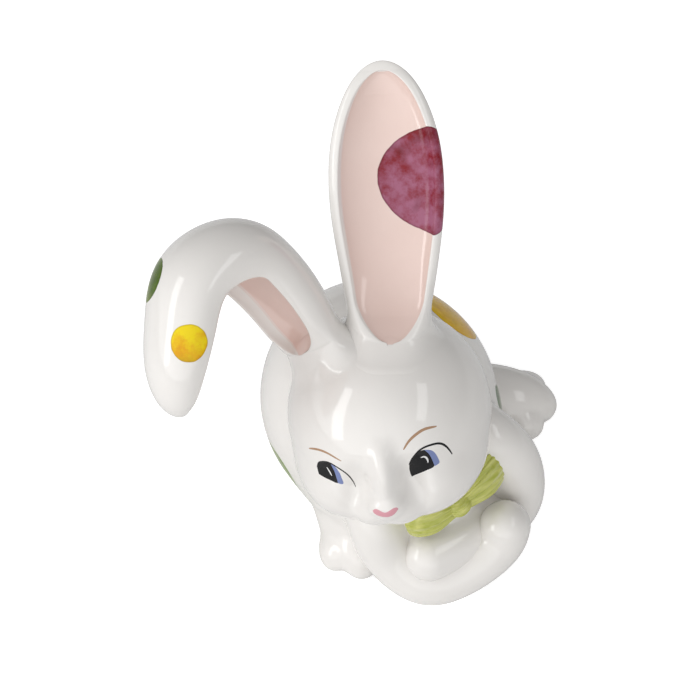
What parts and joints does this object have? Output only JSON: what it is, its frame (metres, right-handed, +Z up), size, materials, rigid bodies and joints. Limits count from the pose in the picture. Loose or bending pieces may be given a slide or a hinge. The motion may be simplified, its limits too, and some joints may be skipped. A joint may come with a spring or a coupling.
{
  "type": "rabbit figurine",
  "caption": "Glazed porcelain rabbit ornament, crouching with crossed arms and a bow, its head turned and tilted, one long ear upright and the other folded over in an arch.",
  "frame": {"origin": "on the table under the centre of the rump, in the plane of the flat seat", "axes": "+Z up, the body faces -Y, the rabbit's own left is +X"},
  "size_m": [0.1712, 0.1423, 0.1863],
  "materials": {
    "white_glaze": "glossy fired glaze",
    "bow_glaze": "glossy fired glaze"
  },
  "bodies": {
    "root": {"body_shell": "white_glaze", "head_shell": "white_glaze", "ear_upright": "white_glaze", "ear_folded": "white_glaze", "arm_right": "white_glaze", "arm_left": "white_glaze", "foot_right": "white_glaze", "foot_left": "white_glaze", "tail": "white_glaze", "bow_knot": "bow_glaze", "bow_loop_right": "bow_glaze", "bow_loop_left": "bow_glaze"}
  },
  "joints": []
}
